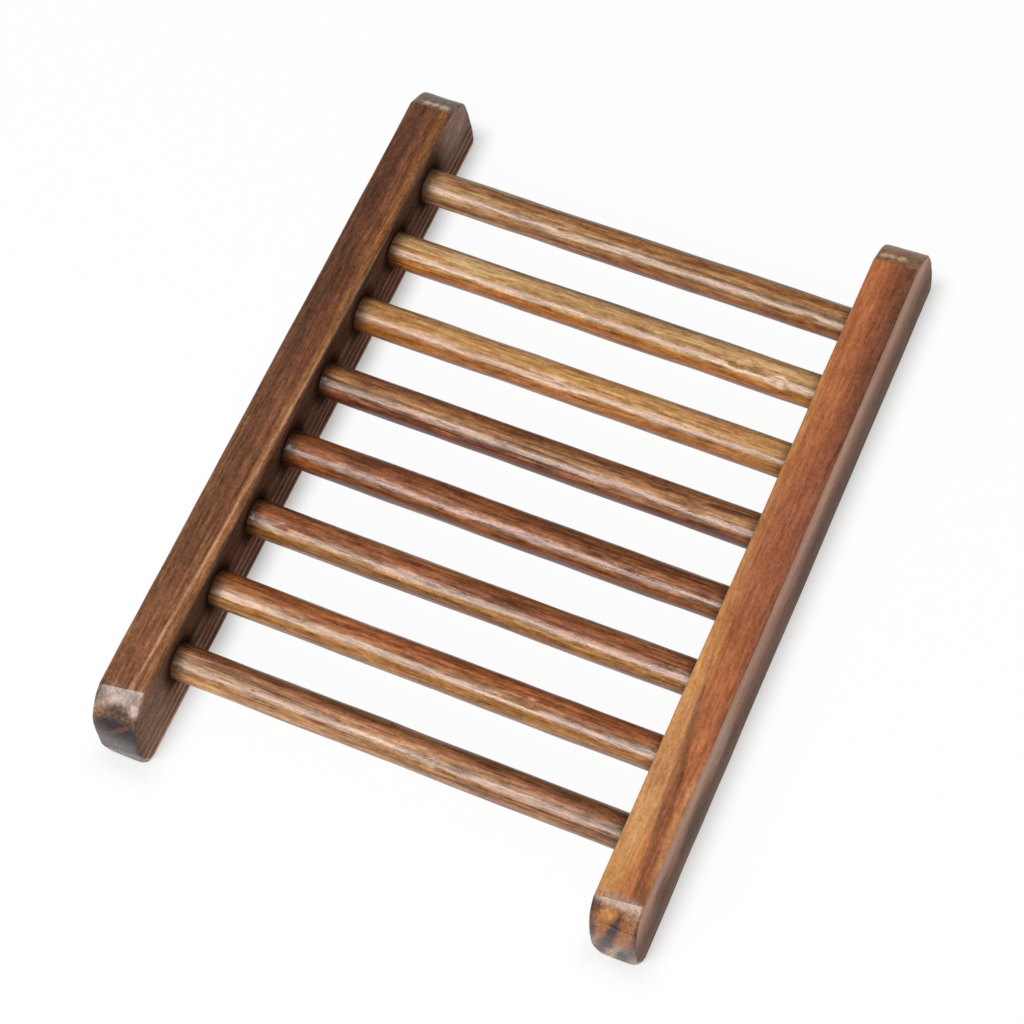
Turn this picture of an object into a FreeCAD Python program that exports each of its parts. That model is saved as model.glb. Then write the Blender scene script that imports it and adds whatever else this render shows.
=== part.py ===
import FreeCAD, Part
import Sketcher
import os

# Soap dish of stained pine: two side rails carry a row of round dowels, glued into blind sockets.
# X runs across the dish along the dowels, Y along the rails and Z up.
# The origin is the middle of the dish on the surface that it stands on.

# Driving dimensions in millimetres
DRIVING_SIZES = {
    # Overall width across both rails, and the length and section of one rail
    "overall_width": 85.0,
    "rail_length": 120.0,
    "rail_width": 7.2,
    "rail_height": 16.0,
    # Rounding of the rail's end corners in side view, and of its arrises
    "end_top_radius": 6.0,
    "end_bottom_radius": 2.0,
    "arris_radius": 0.6,
    # Row of dowels: their number, and the outermost axes measured from the rail's rear and front ends
    "dowel_count": 8,
    "rear_margin": 16.9,
    "front_margin": 15.3,
    "dowel_diameter": 5.8,
    "dowel_end_chamfer": 0.5,
    # Height by which the rails stand above the dowels and keep the soap in
    "lip_height": 3.2,
    # Blind sockets: wood left behind the socket, and play round the dowel
    "socket_floor": 3.0,
    "socket_clearance": 0.05,
    # Dab of set wood glue between a dowel's end and the floor of its socket
    "glue_thickness": 0.3,
}

# Places and sizes that follow from the driving dimensions
DOWEL_RADIUS = "sizes.dowel_diameter / 2"
DOWEL_AXIS_HEIGHT = f"sizes.rail_height - sizes.lip_height - {DOWEL_RADIUS}"
DOWEL_LENGTH = "sizes.overall_width - 2 * (sizes.socket_floor + sizes.glue_thickness)"
DOWEL_COUNT = "round(sizes.dowel_count)"
FIRST_DOWEL_Y = "sizes.rail_length / 2 - sizes.rear_margin"
ROW_LENGTH = "(sizes.rail_length - sizes.rear_margin - sizes.front_margin)"
SOCKET_RADIUS = f"{DOWEL_RADIUS} + sizes.socket_clearance"
SOCKET_DEPTH = "sizes.rail_width - sizes.socket_floor"
SOCKET_FLOOR_X = "sizes.overall_width / 2 - sizes.socket_floor"
INNER_FACE_X = "sizes.overall_width / 2 - sizes.rail_width"

# Distance within which an edge counts as lying on a plane
PICK_TOLERANCE = 0.001

# The two rails, and the turn that lays a cylinder along X
SIDES = ("left", "right")
LAID_ALONG_X = FreeCAD.Rotation(FreeCAD.Vector(0, 1, 0), 90)

doc = FreeCAD.newDocument("soap_dish")
sizes = doc.addObject("Spreadsheet::Sheet", "sizes")
for row, (name, value) in enumerate(DRIVING_SIZES.items(), start=1):
    sizes.set(f"A{row}", name)
    sizes.set(f"B{row}", str(value))
    sizes.setAlias(f"B{row}", name)
doc.recompute()


def origin_feature(body, role):
    """Find one of a body's own origin planes or axes."""
    return next(feature for feature in body.Origin.OriginFeatures if feature.Role == role)


def side_sketch(body, name):
    """Start a sketch on a body's YZ plane: sketch X is the body's Y, sketch Y is its Z."""
    sketch = body.newObject("Sketcher::SketchObject", name)
    sketch.AttachmentSupport = (origin_feature(body, "YZ_Plane"), "")
    sketch.MapMode = "FlatFace"
    return sketch


def dimension(sketch, name, constraint, expression):
    """Add a named dimension to a sketch and bind it to the sheet."""
    sketch.renameConstraint(sketch.addConstraint(constraint), name)
    sketch.setExpression(f"Constraints.{name}", expression)


def draw_side_view(sketch):
    """Draw the rail's side view: a rectangle that stands on sketch X, centred on the origin."""
    half_length = sizes.rail_length / 2
    corners = [
        FreeCAD.Vector(-half_length, 0, 0),
        FreeCAD.Vector(half_length, 0, 0),
        FreeCAD.Vector(half_length, sizes.rail_height, 0),
        FreeCAD.Vector(-half_length, sizes.rail_height, 0),
    ]
    for start, end in zip(corners, corners[1:] + corners[:1]):
        sketch.addGeometry(Part.LineSegment(start, end), False)
    bottom, rear, top, front = range(len(corners))
    for line, following in ((bottom, rear), (rear, top), (top, front), (front, bottom)):
        sketch.addConstraint(Sketcher.Constraint("Coincident", line, 2, following, 1))
    sketch.addConstraint(Sketcher.Constraint("Horizontal", top))
    sketch.addConstraint(Sketcher.Constraint("Vertical", rear))
    sketch.addConstraint(Sketcher.Constraint("Vertical", front))
    sketch.addConstraint(Sketcher.Constraint("Symmetric", bottom, 1, bottom, 2, -1, 1))
    length = Sketcher.Constraint("DistanceX", bottom, 1, bottom, 2, sizes.rail_length)
    dimension(sketch, "length", length, "sizes.rail_length")
    height = Sketcher.Constraint("DistanceY", rear, 1, rear, 2, sizes.rail_height)
    dimension(sketch, "height", height, "sizes.rail_height")


def draw_circle(sketch, radius_expression):
    """Draw a circle of a bound radius and return its number in the sketch."""
    start_radius = sizes.dowel_diameter / 2
    outline = Part.Circle(FreeCAD.Vector(0, 0, 0), FreeCAD.Vector(0, 0, 1), start_radius)
    circle = sketch.addGeometry(outline, False)
    radius = Sketcher.Constraint("Radius", circle, start_radius)
    dimension(sketch, "radius", radius, radius_expression)
    return circle


def edges_where(shape, wanted):
    """Name the edges of a shape whose bounding box passes a test."""
    return [f"Edge{number}" for number, edge in enumerate(shape.Edges, start=1) if wanted(edge.BoundBox)]


def round_edges(body, name, base, wanted, radius_expression):
    """Round the chosen edges of a body's last feature."""
    doc.recompute()
    fillet = body.newObject("PartDesign::Fillet", name)
    fillet.Base = (base, edges_where(base.Shape, wanted))
    fillet.setExpression("Radius", radius_expression)
    return fillet


def is_across(box):
    """Tell whether an edge runs straight across the rail, along X."""
    return max(box.YLength, box.ZLength) < PICK_TOLERANCE < box.XLength


def is_upper(box):
    """Tell whether an edge lies above the middle of the rail's height."""
    return box.ZMin > sizes.rail_height / 2


def is_on_side_face(box):
    """Tell whether an edge lies in the rail's inner or outer face."""
    return box.XLength < PICK_TOLERANCE


def make_rail(side):
    """Make one rail: a strip with rounded ends, softened arrises and drilled sockets.

    In the body's own frame the inner face lies on the YZ plane and the wood is on the plane's outer side.
    """
    body = doc.addObject("PartDesign::Body", f"{side}_rail")
    side_view = side_sketch(body, f"{side}_rail_side_view")
    draw_side_view(side_view)
    strip = body.newObject("PartDesign::Pad", f"{side}_rail_strip")
    strip.Profile = side_view
    strip.Reversed = side == "left"
    strip.setExpression("Length", "sizes.rail_width")
    top_ends = round_edges(body, f"{side}_rail_top_ends", strip,
                           lambda box: is_across(box) and is_upper(box), "sizes.end_top_radius")
    bottom_ends = round_edges(body, f"{side}_rail_bottom_ends", top_ends,
                              lambda box: is_across(box) and box.ZMax < PICK_TOLERANCE,
                              "sizes.end_bottom_radius")
    arrises = round_edges(body, f"{side}_rail_arrises", bottom_ends, is_on_side_face,
                          "sizes.arris_radius")
    doc.recompute()

    mouth = side_sketch(body, f"{side}_rail_socket_mouth")
    circle = draw_circle(mouth, SOCKET_RADIUS)
    along = Sketcher.Constraint("DistanceX", -1, 1, circle, 3, sizes.rear_margin)
    dimension(mouth, "along", along, FIRST_DOWEL_Y)
    height = Sketcher.Constraint("DistanceY", -1, 1, circle, 3, sizes.lip_height)
    dimension(mouth, "height", height, DOWEL_AXIS_HEIGHT)
    socket = body.newObject("PartDesign::Pocket", f"{side}_rail_socket")
    socket.Profile = mouth
    socket.Reversed = side == "right"
    socket.setExpression("Length", SOCKET_DEPTH)
    doc.recompute()

    sockets = body.newObject("PartDesign::LinearPattern", f"{side}_rail_sockets")
    sockets.Originals = [socket]
    sockets.Direction = (origin_feature(body, "Y_Axis"), [""])
    sockets.Reversed = True
    sockets.setExpression("Length", ROW_LENGTH)
    sockets.setExpression("Occurrences", DOWEL_COUNT)
    body.Tip = sockets
    doc.recompute()
    if not sockets.Shape.Volume < socket.Shape.Volume < arrises.Shape.Volume:
        raise ValueError(f"{body.Label}: a socket cuts no wood")

    outward = "-1 * " if side == "left" else ""
    body.setExpression("Placement.Base.x", f"{outward}({INNER_FACE_X})")
    return body


def dowel_y(index):
    """Give the place of a dowel's axis along the rails, counted from the rear."""
    return f"{FIRST_DOWEL_Y} - {index} * {ROW_LENGTH} / ({DOWEL_COUNT} - 1)"


def make_dowel(index):
    """Make one dowel: a round rod across the dish, chamfered at both ends to enter its sockets."""
    name = f"dowel_{index + 1}"
    body = doc.addObject("PartDesign::Body", name)
    section = side_sketch(body, f"{name}_section")
    circle = draw_circle(section, DOWEL_RADIUS)
    section.addConstraint(Sketcher.Constraint("Coincident", circle, 3, -1, 1))
    rod = body.newObject("PartDesign::Pad", f"{name}_rod")
    rod.Profile = section
    rod.SideType = "Symmetric"
    rod.setExpression("Length", DOWEL_LENGTH)
    doc.recompute()
    ends = body.newObject("PartDesign::Chamfer", f"{name}_ends")
    ends.Base = (rod, edges_where(rod.Shape, lambda box: box.XLength < PICK_TOLERANCE))
    ends.setExpression("Size", "sizes.dowel_end_chamfer")
    body.setExpression("Placement.Base.y", dowel_y(index))
    body.setExpression("Placement.Base.z", DOWEL_AXIS_HEIGHT)
    return body


def make_glue(side, count):
    """Make the dabs of glue at the floors of one rail's sockets."""
    start_x = f"-1 * ({SOCKET_FLOOR_X})" if side == "left" else f"{SOCKET_FLOOR_X} - sizes.glue_thickness"
    dabs = []
    for index in range(count):
        dab = doc.addObject("Part::Cylinder", f"{side}_glue_dab_{index + 1}")
        dab.Placement.Rotation = LAID_ALONG_X
        dab.setExpression("Radius", DOWEL_RADIUS)
        dab.setExpression("Height", "sizes.glue_thickness")
        dab.setExpression("Placement.Base.x", start_x)
        dab.setExpression("Placement.Base.y", dowel_y(index))
        dab.setExpression("Placement.Base.z", DOWEL_AXIS_HEIGHT)
        dabs.append(dab)
    glue = doc.addObject("Part::Compound", f"{side}_socket_glue")
    glue.Links = dabs
    return glue


def export(sub_parts):
    """Stop on a failed object, then write each sub-part to a file under its own label."""
    doc.recompute()
    failed = [item.Label for item in doc.Objects if {"Invalid", "Error"} & set(item.State)]
    failed += [item.Label for item in sub_parts if item.Shape.isNull() or not item.Shape.isValid()]
    if failed:
        raise RuntimeError(f"failed objects: {failed}")
    os.makedirs("parts", exist_ok=True)
    for item in sub_parts:
        item.Shape.exportStep(f"parts/{item.Label}.step")
        print(f"{item.Label}: {len(item.Shape.Solids)} solid(s), {item.Shape.Volume:.1f} mm3")


dowel_count = round(sizes.dowel_count)
rails = [make_rail(side) for side in SIDES]
dowels = [make_dowel(index) for index in range(dowel_count)]
glue = [make_glue(side, dowel_count) for side in SIDES]
export(rails + dowels + glue)
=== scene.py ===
import math

import bmesh
import bpy
from mathutils import Matrix, Vector


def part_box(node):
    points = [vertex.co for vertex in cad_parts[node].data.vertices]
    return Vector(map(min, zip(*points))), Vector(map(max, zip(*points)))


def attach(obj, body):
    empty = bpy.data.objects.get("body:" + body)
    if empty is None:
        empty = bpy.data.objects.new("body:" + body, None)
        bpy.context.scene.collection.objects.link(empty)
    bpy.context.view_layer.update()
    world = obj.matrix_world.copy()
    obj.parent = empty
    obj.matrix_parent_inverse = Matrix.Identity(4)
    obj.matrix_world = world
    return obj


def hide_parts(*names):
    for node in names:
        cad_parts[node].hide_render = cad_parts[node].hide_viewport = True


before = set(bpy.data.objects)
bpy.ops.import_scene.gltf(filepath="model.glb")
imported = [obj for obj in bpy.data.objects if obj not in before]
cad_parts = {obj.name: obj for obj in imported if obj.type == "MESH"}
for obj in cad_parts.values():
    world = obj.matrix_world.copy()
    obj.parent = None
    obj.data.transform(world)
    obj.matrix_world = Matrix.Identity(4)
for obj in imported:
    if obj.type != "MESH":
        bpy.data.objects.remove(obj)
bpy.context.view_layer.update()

bpy.context.scene.view_settings.view_transform = "Standard"

# Rails: two strips of pine planed to size and set on edge, each end sanded round by hand and so a
# little different. The inner face is bored with eight blind sockets for the dowels. The strips are
# scorched, stained brown and varnished, so the growth layers show as dark and golden streaks.
DOWEL_NODES = [f"dowel_{number}" for number in range(1, 9)]
# Corners of each sanded end, from the start of the top facet round to the underside: inset from the
# end and height on the rail's right face, and how much further in the left face lies. In millimetres.
END_PROFILES = {
    ("left_rail", "front"): [(7.0, 16, -1.2), (4.4, 14.7, -1.1), (2.0, 12.3, -0.4), (0.9, 9.2, 0.3),
                             (0.8, 4, 0.2), (1.4, 1, 0), (2.3, 0, 0)],
    ("left_rail", "rear"): [(7, 16, 0), (2.6, 13.4, 0), (1.7, 10.8, 0), (0.6, 3, 0), (0.7, 0.8, 0),
                            (1.4, 0, 0)],
    ("right_rail", "front"): [(4.5, 16, -0.9), (3.1, 15.2, -0.65), (1.4, 13.5, -0.2), (0.5, 11, 0.2),
                              (0.1, 8.5, 0.25), (0, 5, 0.1), (0.1, 2.4, 0), (0.5, 1, -0.1),
                              (1.2, 0, -0.1)],
    ("right_rail", "rear"): [(7.5, 16, 0.4), (2.6, 13.4, 0.4), (1, 10, 0.4), (0.1, 5, 0.4),
                             (0, 0.8, 0.4), (0.6, 0, 0.4)],
}
# Rounding of the arrises along the strip, then on the left and the right face of each end.
LONG_ARRIS = 0.0006
END_ARRISES = {("left_rail", "front"): (0.0007, 0.0005), ("left_rail", "rear"): (0.0006, 0.0005),
               ("right_rail", "front"): (0.0003, 0.0004), ("right_rail", "rear"): (0.0006, 0.0005)}
# The right rail's top leans in over its foot by this much.
LEANS = {"left_rail": 0.0, "right_rail": 0.0007}
# Depth of the last pass of the plane.
PLANING = 0.00005
# Rounding of the front ends' lower corners in plan, and how fast it fades upwards.
FOOT_WEAR = 0.0018
FOOT_WEAR_FADE = 0.25
FOOT_WEAR_TURNS = (15, 30, 45, 60, 75)
SOCKET_RADIUS = 0.00276
SOCKET_FLOOR = 0.003
RAIL_CUT_SPACING = 0.0012
RAIL_SANDING_DEPTH = 0.00016
RAIL_SANDING_WAVE = 0.003
RAIL_SMOOTH_ANGLE = math.radians(24)
# Colours of the resin in dark lines and flecks, and of the painted shade that stands in for the
# shadow in the corners where the dowels meet the rails.
RESIN = "#331a0c"
JOINT_PAINTED_SHADE = "#1e100a"
# Where the painted shade of the joints lies, in millimetres: along a dowel from its middle, and out
# from a socket's axis.
DOWEL_END_PAINTED_SHADE = (32.5, 35.3)
SOCKET_PAINTED_SHADE = (2.9, 5.5)
# How far a face has turned towards the grain where end grain begins, and where it is all that shows.
END_GRAIN_TURN = (0.15, 0.4)
# Shares of a mark's half sizes at which it has faded out and is in full.
MARK_EDGE = (1.35, 0.45)
# Height of the fibres and brush marks in the varnish.
SKIN_RELIEF = 0.0002


def linear(hex_colour):
    """Turn an sRGB hex colour into the linear RGBA that sockets take."""
    channels = [int(hex_colour[at:at + 2], 16) / 255 for at in (1, 3, 5)]
    return [c / 12.92 if c <= 0.04045 else ((c + 0.055) / 1.055) ** 2.4 for c in channels] + [1.0]


def add_node(material, kind, inputs=None, stops=None, **settings):
    """Add one node, set its properties and colour stops, and fill or link its inputs."""
    node = material.node_tree.nodes.new(kind)
    for setting, value in settings.items():
        setattr(node, setting, value)
    if stops:
        while len(node.color_ramp.elements) < len(stops):
            node.color_ramp.elements.new(1.0)
        for element, (place, colour) in zip(node.color_ramp.elements, stops):
            element.position = place
            element.color = linear(colour)
    for socket, value in (inputs or {}).items():
        if isinstance(value, bpy.types.NodeSocket):
            material.node_tree.links.new(value, node.inputs[socket])
        else:
            node.inputs[socket].default_value = value
    return node


def select_edges(piece, wanted):
    """Select only the edges whose two ends the test accepts."""
    bpy.ops.mesh.select_mode(type="EDGE")
    bpy.ops.mesh.select_all(action="DESELECT")
    mesh = bmesh.from_edit_mesh(piece.data)
    for edge in mesh.edges:
        edge.select_set(wanted(edge.verts[0].co, edge.verts[1].co))
    bmesh.update_edit_mesh(piece.data)


def sand_unevenly(piece, depth, wave, stretch):
    """Wear a surface down by up to the given depth, in soft waves drawn out along the grain."""
    bpy.ops.object.empty_add()
    grain = bpy.context.object
    grain.scale = stretch
    bpy.context.view_layer.update()
    waves = bpy.data.textures.new(piece.name + "_sanding", "CLOUDS")
    waves.noise_scale = wave
    waves.noise_depth = 1
    wear = piece.modifiers.new("sanding", "DISPLACE")
    wear.texture = waves
    wear.texture_coords = "OBJECT"
    wear.texture_coords_object = grain
    wear.strength = depth
    wear.mid_level = 1.0
    bpy.ops.object.select_all(action="DESELECT")
    piece.select_set(True)
    bpy.context.view_layer.objects.active = piece
    bpy.ops.object.modifier_apply(modifier=wear.name)
    bpy.data.objects.remove(grain)


def cutting_planes(profile):
    """Give a profile's cutting planes: its own sides, and tangents that round the corners between.

    Each is a point with its skew, and the heading from there, as inset, height and skew in metres.
    """
    corners = [Vector(corner) / 1000 for corner in profile]
    planes = []
    for number, (corner, following) in enumerate(zip(corners, corners[1:])):
        planes.append((corner, following - corner))
        if number + 2 < len(corners):
            before = (corner + following) / 2
            after = (following + corners[number + 2]) / 2
            for share in (0.25, 0.5, 0.75):
                point = before.lerp(following, share).lerp(following.lerp(after, share), share)
                planes.append((point, (following - before).lerp(after - following, share)))
    return planes


def model_rail(name):
    """Model one rail in the place of its CAD node."""
    low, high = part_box(name)
    lean = LEANS[name]
    blank_low = low - Vector((lean, 0, 0))
    bpy.ops.object.select_all(action="DESELECT")
    bpy.ops.mesh.primitive_cube_add(size=1, location=(blank_low + high) / 2, scale=high - blank_low)
    rail = bpy.context.object
    rail.name = name + "_wood"
    bpy.ops.object.transform_apply(location=True, rotation=True, scale=True)
    bpy.ops.object.mode_set(mode="EDIT")
    bpy.ops.mesh.select_mode(type="FACE")
    slope = lean / (high.z - low.z)
    sides = [(low, Vector((-1, 0, -slope)).normalized()),
             (high - Vector((lean, 0, 0)), Vector((1, 0, slope)).normalized())]
    cuts = sides[:] if lean else []
    for end, outward, end_y in (("front", -1, low.y), ("rear", 1, high.y)):
        for point, heading in cutting_planes(END_PROFILES[name, end]):
            spot = Vector((high.x, end_y - outward * point.x, low.z + point.y))
            along_profile = Vector((0, -outward * heading.x, heading.y))
            to_left_face = Vector((low.x - high.x, -outward * point.z, 0))
            facing = along_profile.cross(to_left_face).normalized() * outward
            cuts.append((spot, facing))
    for spot, facing in cuts:
        bpy.ops.mesh.select_all(action="SELECT")
        bpy.ops.mesh.bisect(plane_co=spot, plane_no=facing, use_fill=True, clear_outer=True,
                            threshold=1e-6)
    bpy.ops.mesh.select_all(action="SELECT")
    bpy.ops.mesh.normals_make_consistent(inside=False)
    # The arrises are softened by sanding, those of each end by their own amount.
    near = 1e-5
    long_edge = (high.y - low.y) / 2
    widest = max(max(pair) for pair in END_ARRISES.values())
    for side, side_x in enumerate((low.x, high.x)):
        for end, outward in (("front", -1), ("rear", 1), ("along", 0)):
            radius = END_ARRISES[name, end][side] if outward else LONG_ARRIS

            def on_arris(a, b):
                on_face = all(abs(v.x + slope * (v.z - low.z) - side_x) < near for v in (a, b))
                is_long = abs(a.y - b.y) > long_edge
                return on_face and (is_long if not outward else not is_long and a.y * outward > 0)

            select_edges(rail, on_arris)
            bpy.ops.transform.edge_bevelweight(value=radius / widest)
    bpy.ops.object.mode_set(mode="OBJECT")
    arris = rail.modifiers.new("arris", "BEVEL")
    arris.width = widest
    arris.segments = 5
    arris.limit_method = "WEIGHT"
    arris.use_clamp_overlap = False
    bpy.ops.object.modifier_apply(modifier=arris.name)
    # A last pass of the plane takes off what stands proud of the faces.
    bpy.ops.object.mode_set(mode="EDIT")
    bpy.ops.mesh.select_mode(type="FACE")
    square = [(low, Vector((0, -1, 0))), (high, Vector((0, 1, 0))), (high, Vector((0, 0, 1)))]
    trims = [(spot - PLANING * facing, facing) for spot, facing in sides + square]
    # The front end's lower corners are worn round, and less so higher up.
    inset, height, skew = Vector(END_PROFILES[name, "front"][-2]) / 1000
    for side_x, to_side, further in ((high.x, 1, 0), (low.x, -1, skew)):
        corner = Vector((side_x, low.y + inset + further, low.z + height))
        for turn in FOOT_WEAR_TURNS:
            angle = math.radians(turn)
            facing = Vector((to_side * math.cos(angle), -math.sin(angle), -FOOT_WEAR_FADE))
            depth = FOOT_WEAR * (math.cos(angle) + math.sin(angle) - 1)
            trims.append((corner - depth * facing, facing.normalized()))
    for spot, facing in trims:
        bpy.ops.mesh.select_all(action="SELECT")
        bpy.ops.mesh.bisect(plane_co=spot, plane_no=facing, use_fill=True, clear_outer=True,
                            threshold=1e-6)
    bpy.ops.mesh.select_all(action="SELECT")
    bpy.ops.mesh.normals_make_consistent(inside=False)
    bpy.ops.object.mode_set(mode="OBJECT")
    # The eight borings are one cutter, taken out of the inner face at once.
    inner = low.x if abs(low.x) < abs(high.x) else high.x
    outer = high.x if inner == low.x else low.x
    inward = math.copysign(1, inner - outer)
    floor = outer + inward * SOCKET_FLOOR
    mouth = inner + inward * SOCKET_FLOOR
    drills = []
    for node in DOWEL_NODES:
        dowel_low, dowel_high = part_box(node)
        axis = (dowel_low + dowel_high) / 2
        bpy.ops.mesh.primitive_cylinder_add(
            vertices=48, radius=SOCKET_RADIUS, depth=abs(mouth - floor),
            location=((mouth + floor) / 2, axis.y, axis.z), rotation=(0, math.pi / 2, 0))
        drills.append(bpy.context.object)
    bpy.ops.object.select_all(action="DESELECT")
    for drill in drills:
        drill.select_set(True)
    bpy.context.view_layer.objects.active = drills[0]
    bpy.ops.object.join()
    boring = rail.modifiers.new("boring", "BOOLEAN")
    boring.object = drills[0]
    boring.operation = "DIFFERENCE"
    boring.solver = "EXACT"
    bpy.context.view_layer.objects.active = rail
    bpy.ops.object.modifier_apply(modifier=boring.name)
    bpy.data.objects.remove(drills[0])
    # Cuts across the strip give the sanding enough points to work on.
    rail.select_set(True)
    bpy.ops.object.mode_set(mode="EDIT")
    bpy.ops.mesh.select_mode(type="FACE")
    for axis, count in ((1, int((high.y - low.y) / RAIL_CUT_SPACING)), (2, 11), (0, 5)):
        across = Vector((0, 0, 0))
        across[axis] = 1
        for step in range(1, count):
            bpy.ops.mesh.select_all(action="SELECT")
            bpy.ops.mesh.bisect(plane_co=low.lerp(high, step / count), plane_no=across)
    bpy.ops.object.mode_set(mode="OBJECT")
    sand_unevenly(rail, RAIL_SANDING_DEPTH, RAIL_SANDING_WAVE, (1, 4, 1))
    bpy.ops.object.shade_smooth_by_angle(angle=RAIL_SMOOTH_ANGLE)
    return rail


def stained_pine(name, centre, along, across, layers, end_layers, bow=0.0, drift=0.0, wander=0.6,
                 wander_length=45.0, fibre=0.5, mottle=0.5, speckle=0.4, lines=0.4, flecks=0.4,
                 tint=None, streak=None, rear_end=None, marks=(), painted_joint_shade=None, gloss=0.5, relief=0.5,
                 dull_ends=False, seed=0.0):
    """Pine, scorched, stained and varnished. The eye gets growth layers as long streaks on the faces
    and bands on the ends, short mottled fibres, dark resin flecks, the marks of hand sanding and a
    broken semi-gloss sheen. It can also paint shade into the corners of the joints, and some of the
    marks are painted highlights, reflections and shade. Lengths are in millimetres, measured from the
    piece's centre."""
    wood = bpy.data.materials.new(name)
    wood.use_nodes = True
    wood.node_tree.nodes.clear()
    along = Vector(along).normalized()
    across = Vector(across).normalized()
    around = along.cross(across)
    place = add_node(wood, "ShaderNodeTexCoord")
    from_centre = add_node(wood, "ShaderNodeVectorMath", {0: place.outputs["Object"], 1: centre},
                           operation="SUBTRACT")
    millimetres = add_node(wood, "ShaderNodeVectorMath", {0: from_centre.outputs[0], "Scale": 1000},
                           operation="SCALE").outputs[0]
    reach = add_node(wood, "ShaderNodeVectorMath", {0: millimetres, 1: along},
                     operation="DOT_PRODUCT").outputs["Value"]
    growth = add_node(wood, "ShaderNodeVectorMath", {0: millimetres, 1: across},
                      operation="DOT_PRODUCT").outputs["Value"]
    side = add_node(wood, "ShaderNodeVectorMath", {0: millimetres, 1: around},
                    operation="DOT_PRODUCT").outputs["Value"]
    grain = add_node(wood, "ShaderNodeCombineXYZ", {0: reach, 1: growth, 2: side}).outputs[0]
    # Length and width of each pattern. Real fibres are a third as wide: drawn coarser, to show.
    patterns = {}
    for pattern, (length, width, detail) in {
            "wander": (wander_length, 5.0, 2), "lines": (38.0, 0.7, 2), "fibres": (7.0, 0.38, 4),
            "mottle": (3.0, 0.6, 3), "flecks": (2.2, 0.3, 2), "stain": (14.0, 6.0, 3),
            "speckle": (0.6, 0.45, 2)}.items():
        scaled = add_node(wood, "ShaderNodeMapping", {
            "Vector": grain, "Location": (seed + length, seed, width),
            "Scale": (1 / length, 1 / width, 1 / width)})
        patterns[pattern] = add_node(wood, "ShaderNodeTexNoise", {
            "Vector": scaled.outputs[0], "Scale": 1, "Detail": detail, "Roughness": 0.6})
    # Where a point lies in the sequence of growth layers: bowed round the pith, drifting off the
    # strip's axis and wandering slowly along it.
    layer = add_node(wood, "ShaderNodeMath", {
        0: patterns["wander"].outputs[0], 1: 2 * wander, 2: -wander},
        operation="MULTIPLY_ADD").outputs[0]
    layer = add_node(wood, "ShaderNodeMath", {0: growth, 1: layer}).outputs[0]
    arc = add_node(wood, "ShaderNodeMath", {0: side, 1: side}, operation="MULTIPLY").outputs[0]
    layer = add_node(wood, "ShaderNodeMath", {0: arc, 1: bow, 2: layer},
                     operation="MULTIPLY_ADD").outputs[0]
    layer = add_node(wood, "ShaderNodeMath", {0: reach, 1: drift, 2: layer},
                     operation="MULTIPLY_ADD").outputs[0]
    colours = []
    for sequence, position in ((layers, layer), (end_layers, growth)):
        first, last = sequence[0][0], sequence[-1][0]
        share = add_node(wood, "ShaderNodeMapRange", {
            "Value": position, "From Min": first, "From Max": last}).outputs[0]
        stops = [((at - first) / (last - first), colour) for at, colour in sequence]
        colours.append(add_node(wood, "ShaderNodeValToRGB", {0: share}, stops).outputs[0])
    colour, end_colour = colours
    if tint:
        tint_colour, from_reach, to_reach, amount = tint
        share = add_node(wood, "ShaderNodeMapRange", {
            "Value": reach, "From Min": from_reach, "From Max": to_reach, "To Max": amount}).outputs[0]
        colour = add_node(wood, "ShaderNodeMixRGB", {
            "Fac": share, "Color1": colour, "Color2": linear(tint_colour)}).outputs[0]
    if streak:
        streak_colour, middle, slope, half_width, from_reach, to_reach = streak
        off = add_node(wood, "ShaderNodeMath", {0: reach, 1: slope, 2: -middle},
                       operation="MULTIPLY_ADD").outputs[0]
        off = add_node(wood, "ShaderNodeMath", {0: layer, 1: off}).outputs[0]
        off = add_node(wood, "ShaderNodeMath", {0: off}, operation="ABSOLUTE").outputs[0]
        wide = add_node(wood, "ShaderNodeMapRange", {
            "Value": reach, "From Min": from_reach, "From Max": to_reach,
            "To Max": half_width}).outputs[0]
        off = add_node(wood, "ShaderNodeMath", {0: wide, 1: off}, operation="SUBTRACT").outputs[0]
        share = add_node(wood, "ShaderNodeMapRange", {
            "Value": off, "From Min": -0.15, "From Max": 0.25, "To Max": 0.85}).outputs[0]
        colour = add_node(wood, "ShaderNodeMixRGB", {
            "Fac": share, "Color1": colour, "Color2": linear(streak_colour)}).outputs[0]
    # End grain shows the layers head on and soaks up more stain.
    if rear_end:
        rear_colour, amount = rear_end
        share = add_node(wood, "ShaderNodeMapRange", {
            "Value": reach, "From Min": 0, "From Max": 20, "To Max": amount}).outputs[0]
        end_colour = add_node(wood, "ShaderNodeMixRGB", {
            "Fac": share, "Color1": end_colour, "Color2": linear(rear_colour)}).outputs[0]
    facing = add_node(wood, "ShaderNodeVectorMath", {0: place.outputs["Normal"], 1: along},
                      operation="DOT_PRODUCT").outputs["Value"]
    facing = add_node(wood, "ShaderNodeMath", {0: facing}, operation="ABSOLUTE").outputs[0]
    end_grain = add_node(wood, "ShaderNodeMapRange", {
        "Value": facing, "From Min": END_GRAIN_TURN[0], "From Max": END_GRAIN_TURN[1]}).outputs[0]
    colour = add_node(wood, "ShaderNodeMixRGB", {
        "Fac": end_grain, "Color1": colour, "Color2": end_colour}).outputs[0]
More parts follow.
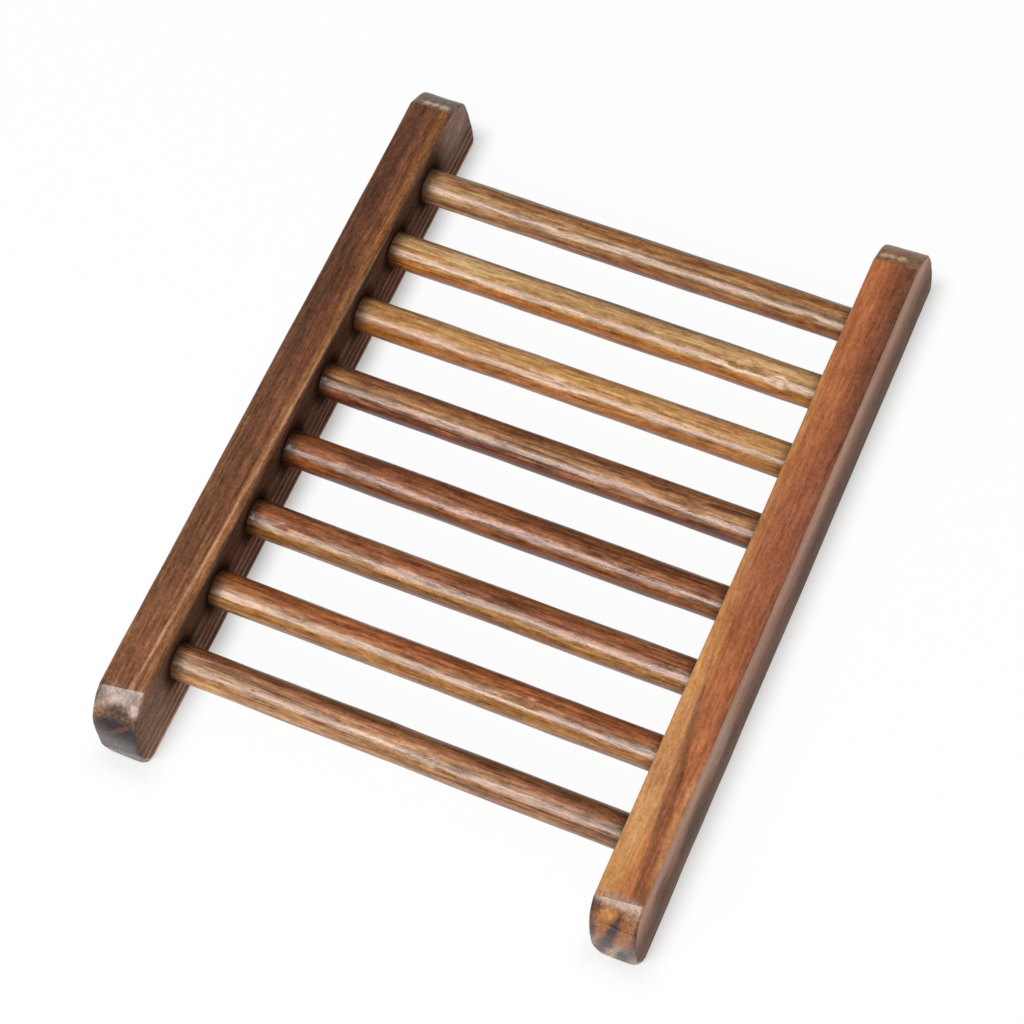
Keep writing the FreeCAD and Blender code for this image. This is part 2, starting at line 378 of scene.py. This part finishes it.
    # Marks, among them painted highlights, painted reflections and painted shade: patches with uneven
    # edges, each a place, its three half sizes and its turn about Y.
    if marks:
        shaken = add_node(wood, "ShaderNodeVectorMath", {
            0: patterns["speckle"].outputs["Color"], 1: (0.8, 0.8, 0.8), 2: millimetres},
            operation="MULTIPLY_ADD")
        shaken = add_node(wood, "ShaderNodeVectorMath", {0: shaken.outputs[0], 1: (0.4, 0.4, 0.4)},
                          operation="SUBTRACT").outputs[0]
    for spot, half_sizes, turn, mark_colour, amount in marks:
        local = add_node(wood, "ShaderNodeMapping", {
            "Vector": shaken, "Location": spot, "Rotation": (0, math.radians(turn), 0),
            "Scale": half_sizes}, vector_type="TEXTURE")
        spread = add_node(wood, "ShaderNodeVectorMath", {0: local.outputs[0]}, operation="LENGTH")
        share = add_node(wood, "ShaderNodeMapRange", {
            "Value": spread.outputs["Value"], "From Min": MARK_EDGE[0], "From Max": MARK_EDGE[1],
            "To Max": amount}, interpolation_type="SMOOTHSTEP").outputs[0]
        colour = add_node(wood, "ShaderNodeMixRGB", {
            "Fac": share, "Color1": colour, "Color2": linear(mark_colour)}).outputs[0]
    for pattern, contrast, amount in (("fibres", 1.6, fibre), ("mottle", 1.6, mottle),
                                      ("stain", 0.4, 0.45), ("speckle", 1.2, speckle)):
        tone = add_node(wood, "ShaderNodeMixRGB", {
            "Fac": 0.12, "Color1": patterns[pattern].outputs[0],
            "Color2": patterns[pattern].outputs["Color"]})
        tone = add_node(wood, "ShaderNodeBrightContrast", {
            "Color": tone.outputs[0], "Contrast": contrast})
        colour = add_node(wood, "ShaderNodeMixRGB", {
            "Fac": amount, "Color1": colour, "Color2": tone.outputs[0]},
            blend_type="SOFT_LIGHT").outputs[0]
    along_grain = add_node(wood, "ShaderNodeMath", {0: 1, 1: end_grain}, operation="SUBTRACT").outputs[0]
    for pattern, threshold, amount in (("lines", 0.56, lines), ("flecks", 0.62, flecks)):
        dark = add_node(wood, "ShaderNodeMapRange", {
            "Value": patterns[pattern].outputs[0], "From Min": threshold, "From Max": threshold + 0.1,
            "To Max": amount}).outputs[0]
        dark = add_node(wood, "ShaderNodeMath", {0: dark, 1: along_grain}, operation="MULTIPLY")
        colour = add_node(wood, "ShaderNodeMixRGB", {
            "Fac": dark.outputs[0], "Color1": colour, "Color2": linear(RESIN)}).outputs[0]
    # Painted shade: the corner where dowel and rail meet is darkened, standing in for the shadow there.
    if painted_joint_shade == "dowel end":
        spread = add_node(wood, "ShaderNodeMath", {0: reach}, operation="ABSOLUTE").outputs[0]
        joint_shade_share = add_node(wood, "ShaderNodeMapRange", {
            "Value": spread, "From Min": DOWEL_END_PAINTED_SHADE[0], "From Max": DOWEL_END_PAINTED_SHADE[1], "To Max": 0.75},
            interpolation_type="SMOOTHSTEP").outputs[0]
    if painted_joint_shade == "round sockets":
        row = add_node(wood, "ShaderNodeMath", {0: reach, 1: FIRST_DOWEL_REACH}, operation="SUBTRACT")
        row = add_node(wood, "ShaderNodeMath", {
            0: row.outputs[0], 1: DOWEL_PITCH / 2, 2: -DOWEL_PITCH / 2}, operation="WRAP").outputs[0]
        height = add_node(wood, "ShaderNodeSeparateXYZ", {0: millimetres}).outputs["Z"]
        height = add_node(wood, "ShaderNodeMath", {0: height, 1: DOWEL_HEIGHT}, operation="SUBTRACT")
        spread = add_node(wood, "ShaderNodeCombineXYZ", {0: row, 1: height.outputs[0]})
        spread = add_node(wood, "ShaderNodeVectorMath", {0: spread.outputs[0]}, operation="LENGTH")
        joint_shade_share = add_node(wood, "ShaderNodeMapRange", {
            "Value": spread.outputs["Value"], "From Min": SOCKET_PAINTED_SHADE[0], "From Max": SOCKET_PAINTED_SHADE[1],
            "To Min": 0.85, "To Max": 0}, interpolation_type="SMOOTHSTEP").outputs[0]
        among = add_node(wood, "ShaderNodeMath", {
            0: reach, 1: FIRST_DOWEL_REACH - 3.5 * DOWEL_PITCH, 2: 4 * DOWEL_PITCH}, operation="COMPARE")
        joint_shade_share = add_node(wood, "ShaderNodeMath", {0: joint_shade_share, 1: among.outputs[0]},
                        operation="MULTIPLY").outputs[0]
    if painted_joint_shade:
        colour = add_node(wood, "ShaderNodeMixRGB", {
            "Fac": joint_shade_share, "Color1": colour, "Color2": linear(JOINT_PAINTED_SHADE)}).outputs[0]
    sheen = add_node(wood, "ShaderNodeMapRange", {
        "Value": patterns["mottle"].outputs[0], "From Min": 0.3, "From Max": 0.7,
        "To Min": 0.28 - 0.2 * gloss, "To Max": 0.66 - 0.5 * gloss}).outputs[0]
    skin = add_node(wood, "ShaderNodeMath", {
        0: patterns["speckle"].outputs[0], 1: 1.0, 2: patterns["mottle"].outputs[0]},
        operation="MULTIPLY_ADD").outputs[0]
    skin = add_node(wood, "ShaderNodeMath", {0: patterns["fibres"].outputs[0], 1: 0.6, 2: skin},
                    operation="MULTIPLY_ADD").outputs[0]
    bumps = add_node(wood, "ShaderNodeBump", {
        "Strength": relief, "Distance": SKIN_RELIEF, "Height": skin}).outputs[0]
    varnish = gloss
    if dull_ends:
        varnish = add_node(wood, "ShaderNodeMapRange", {
            "Value": end_grain, "To Min": gloss, "To Max": 0.45 * gloss}).outputs[0]
    shader = add_node(wood, "ShaderNodeBsdfPrincipled", {
        "Base Color": colour, "Roughness": sheen, "IOR": 1.5, "Specular IOR Level": varnish,
        "Normal": bumps})
    add_node(wood, "ShaderNodeOutputMaterial", {"Surface": shader.outputs[0]})
    return wood


dowel_places = [sum(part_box(node), Vector()) * 500 for node in DOWEL_NODES]
FIRST_DOWEL_REACH = dowel_places[0].y
DOWEL_PITCH = (dowel_places[0].y - dowel_places[-1].y) / (len(DOWEL_NODES) - 1)
DOWEL_HEIGHT = dowel_places[0].z - sum(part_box("left_rail"), Vector()).z * 500
LEFT_RAIL_GRAIN_AND_PAINTED_HIGHLIGHTS = dict(
    along=(0, 1, 0), across=(-0.34, 0, 0.94),
    layers=[(-9.0, "#704930"), (-7.7, "#b98863"), (-7.2, "#613d27"), (-6.4, "#a87c5a"), (-6.0, "#5c3923"),
            (-5.1, "#b98c65"), (-4.6, "#613e28"), (-3.5, "#9c7254"), (-3.0, "#5d3b26"), (-1.8, "#81593f"),
            (-1.4, "#613f2b"), (1.0, "#6a4636"), (3.0, "#634130"), (3.7, "#5f3923"), (4.2, "#815130"),
            (4.9, "#966134"), (5.4, "#814d2d"), (5.9, "#6e4429"), (6.5, "#7a472d"), (7.0, "#704329"),
            (7.5, "#633b25"), (8.0, "#5f3925"), (8.4, "#6e4730"), (8.8, "#76503a")],
    end_layers=[(-9.0, "#50403a"), (-7.0, "#776863"), (-6.2, "#372b29"), (-4.6, "#5e514c"),
                (-3.6, "#80726d"), (-2.9, "#3e3230"), (-1.0, "#4a3f40"), (1.0, "#413432"),
                (3.6, "#5a463c"), (5.0, "#7c6252"), (6.4, "#947c6c"), (9.0, "#a08878")],
    marks=[((-0.4, -58.5, -2.5), (3.5, 2.0, 3.0), 0, "#4a3c3a", 0.4),
           ((0.4, -54.0, 7.1), (4.2, 1.6, 1.4), 0, "#8a6c5e", 0.6),
           ((-2.8, -54.7, 6.8), (1.5, 1.8, 1.2), 0, "#54403a", 0.85),
           ((2.2, -54.4, 7.0), (1.2, 1.2, 1.0), 0, "#6e5448", 0.6),
           ((-2.2, -56.7, 5.0), (1.5, 1.3, 1.1), 0, "#8a6440", 0.95),
           ((-0.2, -58.0, 3.2), (3.9, 2.6, 2.4), 0, "#2e2224", 0.97),
           ((0.3, -56.5, 5.6), (2.4, 1.3, 1.2), 0, "#523c32", 0.92),
           ((0.6, -56.0, 6.0), (1.7, 0.9, 0.9), 0, "#4e3a30", 0.8),
           # Painted highlight: a pale glint on the front end's rounding.
           ((2.7, -55.9, 6.2), (0.8, 0.9, 0.9), 0, "#b09a90", 0.75),
           ((1.0, -58.0, 3.4), (3.4, 2.2, 0.45), -38, "#5e3a28", 0.85),
           ((2.6, -58.5, 2.6), (0.9, 1.4, 1.5), 0, "#2c282c", 0.85),
           # Painted highlights: cream glints on the rear end's rounding.
           ((-1.1, 54.1, 7.3), (0.8, 0.7, 0.6), 0, "#dcc89e", 0.9),
           ((0.2, 54.2, 7.2), (0.6, 0.6, 0.6), 0, "#e4ccb4", 0.9),
           ((1.7, 54.1, 7.2), (0.9, 1.0, 0.6), 0, "#d8c49c", 0.9)],
    bow=-0.07, wander=0.35, wander_length=60, fibre=0.5, mottle=0.35,
    speckle=0.4, lines=0.35, flecks=0.3, relief=0.15, tint=("#96623f", 15, -45, 0.5),
    streak=("#c0906a", 4.36, 0.03, 0.22, 45, 20), rear_end=("#826450", 0.85),
    dull_ends=True, seed=1.3)
RIGHT_RAIL_GRAIN_AND_PAINTED_HIGHLIGHTS = dict(
    along=(0, 1, 0), across=(0.97, 0, -0.24),
    layers=[(-8.0, "#c0864e"), (-6.1, "#c88b50"), (-5.3, "#c3834c"), (-4.4, "#c07b46"), (-3.6, "#b2693d"),
            (-2.6, "#b2693d"), (-1.8, "#b2693d"), (-1.2, "#aa6239"), (-0.2, "#975635"), (0.9, "#884e31"),
            (1.9, "#76452e"), (2.8, "#764833"), (3.4, "#8c583d"), (4.2, "#6b4430"), (5.0, "#82563c"),
            (6.0, "#603f2d"), (7.5, "#704831")],
    end_layers=[(-5.0, "#3f2f28"), (-3.0, "#987760"), (-2.0, "#775746"), (-1.2, "#4d3f3f"),
                (-0.6, "#917561"), (0.6, "#a68b73"), (1.4, "#5b4b4a"), (2.4, "#574847"),
                (3.4, "#8a7261"), (5.0, "#775f51")],
    marks=[((0.0, -58.0, 3.4), (4.2, 3.4, 5.4), 0, "#8c542c", 0.95),
           ((-0.4, -56.1, 7.5), (4.6, 1.1, 0.9), 0, "#b08c76", 0.85),
           ((-1.6, -57.5, 6.0), (1.4, 1.1, 1.0), 0, "#c48e50", 0.95),
           ((1.8, -57.2, 6.7), (1.3, 1.0, 0.9), 0, "#8e6c50", 0.9),
           ((-1.9, -58.6, 4.0), (1.0, 1.4, 2.6), 0, "#a4622e", 0.7),
           ((-2.8, -59.3, 0.6), (0.9, 1.4, 1.9), 0, "#ac6a44", 0.9),
           ((-3.5, -58.9, 1.5), (0.6, 1.8, 3.0), 0, "#3a2622", 0.8),
           ((-0.6, -58.6, 2.8), (0.85, 2.4, 4.0), 12, "#33282a", 0.95),
           ((-1.4, -59.4, -0.8), (1.3, 1.5, 2.2), 12, "#332a2c", 0.95),
           ((-2.2, -59.6, -4.8), (0.9, 1.5, 1.6), 0, "#40302e", 0.7),
           ((3.0, -58.8, 3.6), (0.6, 2.0, 3.6), 0, "#4e3020", 0.85),
           ((2.7, -59.6, -0.6), (0.8, 1.4, 1.8), 0, "#4a4444", 0.85),
           ((1.0, -59.6, -3.6), (0.8, 1.4, 1.8), 0, "#463c3c", 0.8),
           # Painted highlights: cream glints on the rear end's rounding.
           ((-2.9, 53.7, 7.1), (0.7, 0.7, 0.6), 0, "#dcb484", 0.9),
           ((-1.8, 54.0, 6.9), (0.6, 0.7, 0.6), 0, "#d8b496", 0.9),
           ((-0.2, 54.1, 6.9), (0.9, 0.8, 0.6), 0, "#e0bc92", 0.9),
           ((2.0, 54.6, 6.7), (1.6, 1.4, 0.9), 0, "#86684a", 0.8),
           ((0.0, 3.0, 8.0), (4.4, 18.0, 3.0), 0, "#93553a", 0.55),
           ((-2.6, -38.0, 8.0), (2.2, 15.0, 3.0), 0, "#d29c68", 0.45),
           ((2.9, -43.0, 8.0), (1.1, 12.0, 3.0), 0, "#c48c58", 0.6)],
    drift=0.042, wander=0.3, wander_length=50, fibre=0.3, mottle=0.3, speckle=0.35,
    lines=0.08, flecks=0.12, relief=0.12, streak=("#864e30", -6.0, 0.065, 1.0, -14, -38),
    rear_end=("#a06a4c", 0.85), dull_ends=True, seed=4.1)
# The brush hardly reaches the inner faces, so they have stain but almost no varnish.
INNER_FACE_GRAIN_AND_PAINTED_LIGHT = dict(
    # Painted shade darkens the face round each socket, standing in for the shadow of the joint.
    across=(0, 0, 1), bow=0.0, drift=0.0, wander=0.4, fibre=0.5, lines=0.2, painted_joint_shade="round sockets",
    gloss=0.0, dull_ends=False, tint=None, streak=None,
    # Painted reflection: pale patches at both open ends stand in for the lit table mirrored in the face
    # beyond the first and the last dowel.
    marks=[((0, 54.5, 5.0), (9.0, 7.0, 9.0), 0, "#c4a696", 0.72),
           ((0, -54.0, 1.0), (9.0, 5.5, 12.0), 0, "#a88878", 0.5)],
    layers=[(-8.0, "#86664f"), (-7.2, "#c9a285"), (-6.6, "#5e4030"), (-5.4, "#b8937f"), (-4.8, "#5e4238"),
            (-3.6, "#a88474"), (-3.0, "#5c4034"), (-1.6, "#96705f"), (-1.0, "#5e4438"), (1.0, "#80604f"),
            (1.8, "#644838"), (4.0, "#6c4b3c"), (6.0, "#705344"), (7.4, "#785444"), (8.0, "#a07a60")])
# The outer faces are dull. Their paler top is a painted reflection of the white table. Their
# darker lower part and dark patches are painted shade, the table in the rail's shadow mirrored
# there, and the one pale patch is painted reflection too.
OUTER_FACE_GRAIN_AND_PAINTED_LIGHT = dict(
    across=(0, 0, 1), bow=0.0, drift=0.0, wander=0.8, fibre=0.3, lines=0.1, gloss=0.05,
    dull_ends=False, tint=None, streak=None,
    marks=[((3.6, -50.5, 1.0), (4.0, 3.0, 3.2), 0, "#4e3c34", 0.6),
           ((3.6, -37.5, -1.5), (4.0, 5.5, 4.0), 0, "#54423a", 0.5),
           ((3.6, -28.0, 2.5), (4.0, 5.0, 3.5), 0, "#b8a094", 0.35),
           ((3.6, 6.0, -3.0), (4.0, 9.0, 3.0), 0, "#5c4a44", 0.3)],
    layers=[(-8.0, "#8a6a57"), (-5.0, "#7f6454"), (-3.0, "#764d38"), (-1.0, "#7f5338"), (1.0, "#996b54"),
            (3.0, "#b0836b"), (5.0, "#c6977e"), (8.0, "#c0876d")])
for name, grain in (("left_rail", LEFT_RAIL_GRAIN_AND_PAINTED_HIGHLIGHTS), ("right_rail", RIGHT_RAIL_GRAIN_AND_PAINTED_HIGHLIGHTS)):
    rail = model_rail(name)
    centre = sum(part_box(name), Vector()) / 2
    for faces, changes in (("", {}), ("_inner", INNER_FACE_GRAIN_AND_PAINTED_LIGHT), ("_outer", OUTER_FACE_GRAIN_AND_PAINTED_LIGHT)):
        wood = stained_pine(name + faces + "_stained_pine", centre, **{**grain, **changes})
        rail.data.materials.append(wood)
    inward = -math.copysign(1, centre.x)
    for face in rail.data.polygons:
        inner_share = face.normal.x * inward
        face.material_index = 1 if inner_share > 0.95 else 2 if inner_share < -0.95 else 0
    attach(rail, "root")
    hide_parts(name)

# Dowels: eight lengths of turned pine rod, pressed and glued into the sockets of both rails. The rod
# is not quite straight or round, it was dinged in handling before it was stained, and the varnish
# lies thick on it, so each one shows a long broken highlight.
DOWEL_CHAMFER = 0.0005
DOWEL_RINGS = 170
DOWEL_TURNING_DEPTH = 0.00022
DOWEL_TURNING_WAVE = 0.0022
DOWEL_SMOOTH_ANGLE = math.radians(35)
DOWEL_LAYERS = {
    "dowel_1": [(-3.2, "#824614"), (-1.9, "#8e562c"), (-1.2, "#a0764e"), (0.0, "#a2784e"),
                (0.8, "#b78454"), (1.4, "#8b562f"), (2.0, "#a87444"), (3.2, "#7c5230")],
    "dowel_2": [(-3.2, "#7c4416"), (-1.8, "#aa692b"), (-1.0, "#a97c48"), (0.2, "#b18350"),
                (1.0, "#cca06a"), (1.8, "#c5996a"), (2.4, "#bd966a"), (3.0, "#6a4828")],
    "dowel_3": [(-3.2, "#864f17"), (-1.8, "#a06229"), (-1.0, "#9d6737"), (0.2, "#ba8b5c"),
                (1.0, "#c28e56"), (1.8, "#c69259"), (2.4, "#c89660"), (3.0, "#704a28")],
    "dowel_4": [(-3.2, "#581d0f"), (-1.8, "#6f3517"), (-1.2, "#8c5e3f"), (-0.4, "#916747"),
                (0.3, "#ab7b51"), (0.9, "#a6754c"), (1.4, "#97613c"), (2.0, "#8c5a35"), (3.2, "#8d5939")],
    "dowel_5": [(-3.2, "#5b2c11"), (-1.8, "#763c14"), (-1.2, "#7c4b23"), (-0.2, "#935d3f"),
                (0.8, "#925b39"), (1.6, "#824825"), (3.2, "#814a26")],
    "dowel_6": [(-3.2, "#8e6039"), (-1.8, "#8a592d"), (-1.0, "#a67845"), (-0.4, "#926544"),
                (0.8, "#8f593c"), (1.6, "#894d27"), (2.4, "#a06238"), (3.0, "#5e3418")],
    "dowel_7": [(-3.2, "#815c3a"), (-1.8, "#9e6c3d"), (-1.0, "#9e6b35"), (-0.2, "#9d7453"),
                (0.8, "#9c643e"), (1.6, "#ab6136"), (3.2, "#80481f")],
    "dowel_8": [(-3.2, "#98765c"), (-1.8, "#b07e54"), (-1.0, "#9c6e42"), (-0.2, "#9c7452"),
                (0.8, "#bd8d64"), (1.4, "#bd8260"), (2.0, "#8f5a36"), (3.2, "#855838")],
}
DOWEL_LINES = (0.5, 0.15, 0.15, 0.7, 0.55, 0.5, 0.4, 0.6)
DOWEL_GLOSS = (0.46, 0.5, 0.48, 0.46, 0.52, 0.5, 0.5, 0.42)
# Stain that deepens or pales towards one end: its colour, the reach between which it grows, its amount.
DOWEL_TINTS = {"dowel_1": ("#c89c70", 0, -30, 0.35), "dowel_8": ("#5c3018", -8, 32, 0.5)}
# Painted highlights: white glints at the left end of three dowels, in the corner of the socket, laid
# out as the rails' marks are.
PAINTED_GLINTS = {node: [((-34.8, -1.2, 2.5), (0.4, 0.4, 0.4), 0, "#e6e2e6", 0.85)]
         for node in ("dowel_4", "dowel_5", "dowel_6")}
# Dings: along the dowel, turned from the top towards the front in degrees, depth and width.
DINGS = {
    "dowel_1": [(0.0290, 60, 0.0003, 0.0016), (-0.0120, 20, 0.0002, 0.0020)],
    "dowel_2": [(0.0215, 25, 0.0004, 0.0014), (0.0250, 5, 0.0005, 0.0016), (0.0285, 40, 0.0004, 0.0015)],
    "dowel_3": [(-0.0020, 35, 0.0002, 0.0016)],
    "dowel_4": [(0.0250, 0, 0.0004, 0.0024), (0.0185, -25, 0.0003, 0.0020)],
    "dowel_5": [(-0.0260, 30, 0.0002, 0.0012)],
    "dowel_6": [(-0.0300, 20, 0.0003, 0.0014)],
    "dowel_7": [(0.0146, 10, 0.0005, 0.0011)],
    "dowel_8": [(0.0060, 30, 0.0002, 0.0014)],
}


def model_dowel(node):
    """Model one plain dowel in the place of its CAD node."""
    low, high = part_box(node)
    bpy.ops.object.select_all(action="DESELECT")
    bpy.ops.mesh.primitive_cylinder_add(
        vertices=64, radius=(high.z - low.z) / 2, depth=high.x - low.x, location=(low + high) / 2,
        rotation=(0, math.pi / 2, 0))
    dowel = bpy.context.object
    bpy.ops.object.transform_apply(location=True, rotation=True, scale=True)
    bpy.ops.object.mode_set(mode="EDIT")
    select_edges(dowel, lambda a, b: abs(a.x - b.x) < 1e-5)
    bpy.ops.mesh.bevel(offset=DOWEL_CHAMFER, segments=2, profile=0.5, affect="EDGES")
    select_edges(dowel, lambda a, b: abs(a.x - b.x) > 0.05)
    bpy.ops.mesh.subdivide(number_cuts=DOWEL_RINGS)
    bpy.ops.object.mode_set(mode="OBJECT")
    return dowel


def ding(dowel, centre, radius, along, turned, depth, width):
    """Knock one small hollow into a dowel."""
    out = Vector((0, -math.sin(math.radians(turned)), math.cos(math.radians(turned))))
    spot = Vector((along, centre.y, centre.z)) + out * radius
    bpy.ops.object.mode_set(mode="EDIT")
    bpy.ops.mesh.select_mode(type="VERT")
    bpy.ops.mesh.select_all(action="DESELECT")
    mesh = bmesh.from_edit_mesh(dowel.data)
    min(mesh.verts, key=lambda vert: (vert.co - spot).length).select_set(True)
    bmesh.update_edit_mesh(dowel.data)
    bpy.ops.transform.translate(value=out * -depth, use_proportional_edit=True,
                                proportional_edit_falloff="SMOOTH", proportional_size=width)
    bpy.ops.object.mode_set(mode="OBJECT")


first_dowel = model_dowel("dowel_1")
first_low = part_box("dowel_1")[0]
for number, node in enumerate(DOWEL_NODES):
    low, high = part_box(node)
    centre = (low + high) / 2
    bpy.ops.object.select_all(action="DESELECT")
    dowel = first_dowel.copy()
    dowel.data = first_dowel.data.copy()
    dowel.name = node + "_wood"
    bpy.context.collection.objects.link(dowel)
    dowel.select_set(True)
    bpy.context.view_layer.objects.active = dowel
    dowel.location = low - first_low
    bpy.ops.object.transform_apply(location=True, rotation=True, scale=True)
    sand_unevenly(dowel, DOWEL_TURNING_DEPTH, DOWEL_TURNING_WAVE, (6, 1, 1))
    for along, turned, depth, width in DINGS[node]:
        ding(dowel, centre, (high.z - low.z) / 2, along, turned, depth, width)
    bpy.ops.object.shade_smooth_by_angle(angle=DOWEL_SMOOTH_ANGLE)
    layers = DOWEL_LAYERS[node]
    dowel.data.materials.append(stained_pine(
        node + "_stained_pine", centre, along=(1, 0, 0), across=(0, 0.9, 0.4355),
        layers=layers, end_layers=layers, wander=0.6, wander_length=35, fibre=0.75,
        # Painted shade darkens the dowel's ends where they go into the sockets.
        mottle=0.5, speckle=0.35, relief=0.2, lines=DOWEL_LINES[number], painted_joint_shade="dowel end",
        gloss=DOWEL_GLOSS[number], tint=DOWEL_TINTS.get(node), marks=PAINTED_GLINTS.get(node, ()),
        seed=2.7 * number))
    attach(dowel, "root")
    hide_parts(node)
bpy.data.objects.remove(first_dowel)

# Socket glue: a dab of white wood glue at the floor of each socket, squeezed flat by the dowel's end.
# It sets to a yellowish, slightly cloudy film. The eight dabs of one rail are one node of the frame.
glue = bpy.data.materials.new("set_wood_glue")
glue.use_nodes = True
glue.node_tree.nodes.clear()
place = add_node(glue, "ShaderNodeTexCoord")
# Clouds in the film about a millimetre across.
clouds = add_node(glue, "ShaderNodeTexNoise", {
    "Vector": place.outputs["Object"], "Scale": 900, "Detail": 3})
tone = add_node(glue, "ShaderNodeValToRGB", {0: clouds.outputs[0]}, [
    (0.3, "#d8c9a0"), (0.7, "#ece2c6")])
shader = add_node(glue, "ShaderNodeBsdfPrincipled", {
    "Base Color": tone.outputs[0], "Roughness": 0.4, "IOR": 1.47})
add_node(glue, "ShaderNodeOutputMaterial", {"Surface": shader.outputs[0]})
for node in ("left_socket_glue", "right_socket_glue"):
    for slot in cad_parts[node].material_slots:
        slot.material = glue

# Floor: a wide white table top. Close to the rails it takes most of their contact shadow, and further
# out it shows mainly its own white, so the rest of the shadow is pale.
bpy.ops.object.select_all(action="DESELECT")
bpy.ops.mesh.primitive_circle_add(vertices=96, radius=12, fill_type="NGON", location=(0, 0, 0))
table = bpy.context.object
table.name = "table_top"
paint = bpy.data.materials.new("matt_white_table_top")
paint.use_nodes = True
paint.node_tree.nodes.clear()
place = add_node(paint, "ShaderNodeTexCoord")
rail_low, rail_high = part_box("right_rail")
rail_centre = (rail_low + rail_high) / 2
rail_half = (rail_high - rail_low) / 2
offset = add_node(paint, "ShaderNodeVectorMath", {0: place.outputs["Object"]}, operation="ABSOLUTE")
offset = add_node(paint, "ShaderNodeVectorMath", {0: offset.outputs[0], 1: (rail_centre.x, 0, 0)},
                  operation="SUBTRACT")
offset = add_node(paint, "ShaderNodeVectorMath", {0: offset.outputs[0]}, operation="ABSOLUTE")
offset = add_node(paint, "ShaderNodeVectorMath", {
    0: offset.outputs[0], 1: (rail_half.x, rail_half.y, 0)}, operation="SUBTRACT")
offset = add_node(paint, "ShaderNodeVectorMath", {0: offset.outputs[0], 1: (0, 0, 0)},
                  operation="MAXIMUM")
gap = add_node(paint, "ShaderNodeVectorMath", {0: offset.outputs[0]}, operation="LENGTH")
path = add_node(paint, "ShaderNodeLightPath")
mirrored = add_node(paint, "ShaderNodeMath", {
    0: path.outputs["Is Glossy Ray"], 1: path.outputs["Is Transmission Ray"]}, operation="MAXIMUM")
whiteness = []
for ray, near_gap, far_gap in ((path.outputs["Is Camera Ray"], -0.003, 0.004),
                               (mirrored.outputs[0], 0.0015, 0.0045)):
    share = add_node(paint, "ShaderNodeMapRange", {
        "Value": gap.outputs["Value"], "From Min": near_gap, "From Max": far_gap, "To Max": 0.96},
        interpolation_type="SMOOTHSTEP")
    share = add_node(paint, "ShaderNodeMath", {0: share.outputs[0], 1: ray}, operation="MULTIPLY")
    whiteness.append(share.outputs[0])
whiteness = add_node(paint, "ShaderNodeMath", {0: whiteness[0], 1: whiteness[1]}, operation="MAXIMUM")
matt = add_node(paint, "ShaderNodeBsdfDiffuse", {"Color": linear("#f4f4f4")})
white = add_node(paint, "ShaderNodeEmission", {"Color": linear("#ffffff"), "Strength": 1})
mix = add_node(paint, "ShaderNodeMixShader", {
    0: whiteness.outputs[0], 1: matt.outputs[0], 2: white.outputs[0]})
add_node(paint, "ShaderNodeOutputMaterial", {"Surface": mix.outputs[0]})
table.data.materials.append(paint)

# Light: a long softbox in front of the dish, low enough to streak along the dowels, a large soft
# panel overhead that only fills, and a dim pale room.
KEY_DIRECTION = Vector((-0.10, -0.69, 0.72)).normalized()
KEY_DISTANCE = 0.8
KEY_SIZE = (0.62, 0.21)
KEY_RADIANCE = 13.0
SCRIM_SIZE = (0.62, 0.30)
SCRIM_RADIANCE = 17.0
FILL_HEIGHT = 1.2
FILL_SIZE = 1.6
FILL_RADIANCE = 0.6
ROOM_RADIANCE = 0.2


def add_softbox(name, place, size, radiance, seen_in_gloss, fills=True):
    """Hang one rectangular softbox at a place and aim it at the dish."""
    bpy.ops.object.light_add(type="AREA", location=place)
    lamp = bpy.context.object
    lamp.name = name
    lamp.data.shape = "RECTANGLE"
    lamp.data.size, lamp.data.size_y = size
    lamp.data.energy = radiance * math.pi * size[0] * size[1]
    lamp.rotation_euler = Vector(place).to_track_quat("Z", "Y").to_euler()
    lamp.visible_glossy = seen_in_gloss
    lamp.visible_diffuse = fills
    lamp.visible_camera = False


add_softbox("front_softbox", KEY_DIRECTION * KEY_DISTANCE, KEY_SIZE, KEY_RADIANCE, False)
add_softbox("front_scrim", KEY_DIRECTION * KEY_DISTANCE, SCRIM_SIZE, SCRIM_RADIANCE, True, fills=False)
add_softbox("overhead_panel", (0, 0, FILL_HEIGHT), (FILL_SIZE, FILL_SIZE), FILL_RADIANCE, False)
room = bpy.data.worlds.new("pale_room")
bpy.context.scene.world = room
room.use_nodes = True
room.node_tree.nodes["Background"].inputs["Color"].default_value = linear("#ffffff")
room.node_tree.nodes["Background"].inputs["Strength"].default_value = ROOM_RADIANCE

# Camera: high over the right front corner of the dish, with a long lens, aimed just in front of the
# middle and turned a little about its own axis.
CAMERA_AZIMUTH = math.radians(30.180)
CAMERA_ELEVATION = math.radians(62.708)
CAMERA_ROLL = math.radians(-7.460)
CAMERA_DISTANCE = 0.41386
CAMERA_TARGET = Vector((-0.000258, -0.004826, 0.010))
CAMERA_LENS = 98.918
back = Vector((math.sin(CAMERA_AZIMUTH) * math.cos(CAMERA_ELEVATION),
               -math.cos(CAMERA_AZIMUTH) * math.cos(CAMERA_ELEVATION),
               math.sin(CAMERA_ELEVATION)))
right = Vector((math.cos(CAMERA_AZIMUTH), math.sin(CAMERA_AZIMUTH), 0))
up = back.cross(right)
camera_x = right * math.cos(CAMERA_ROLL) + up * math.sin(CAMERA_ROLL)
camera_y = up * math.cos(CAMERA_ROLL) - right * math.sin(CAMERA_ROLL)
bpy.ops.object.camera_add()
camera = bpy.context.object
camera.data.lens = CAMERA_LENS
camera.data.sensor_width = 36
camera.data.clip_start = 0.01
turn = Matrix((camera_x, camera_y, back)).transposed().to_4x4()
camera.matrix_world = Matrix.Translation(CAMERA_TARGET + back * CAMERA_DISTANCE) @ turn
bpy.context.scene.camera = camera
